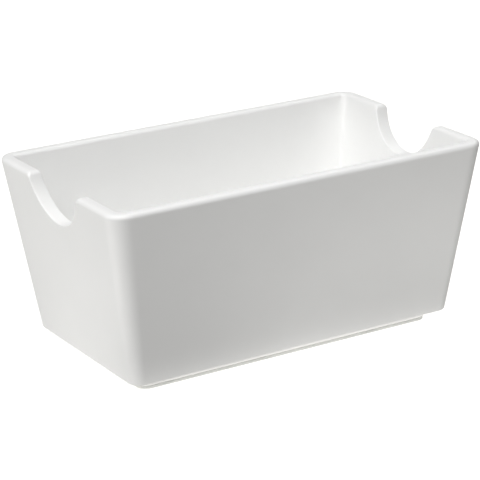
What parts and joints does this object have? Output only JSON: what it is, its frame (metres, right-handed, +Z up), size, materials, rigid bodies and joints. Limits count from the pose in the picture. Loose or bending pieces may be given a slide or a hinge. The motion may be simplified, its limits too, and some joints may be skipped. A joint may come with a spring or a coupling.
{
  "type": "sugar packet holder",
  "caption": "Open tapered tub for sugar packets, with a rounded grip notch in each short wall, standing on a low recessed foot with a non-slip ring.",
  "frame": {"origin": "on the table, under the middle of the tub", "axes": "+X along the long side, +Y across the tub, +Z up out of its mouth"},
  "size_m": [0.1206, 0.0702, 0.0548],
  "materials": {
    "moulded_tub": "satin-gloss moulded melamine, white",
    "ring_rubber": "matt, very pale grey non-slip rubber"
  },
  "bodies": {
    "root": {"holder_tub": "moulded_tub", "non_slip_ring": "ring_rubber"}
  },
  "joints": []
}
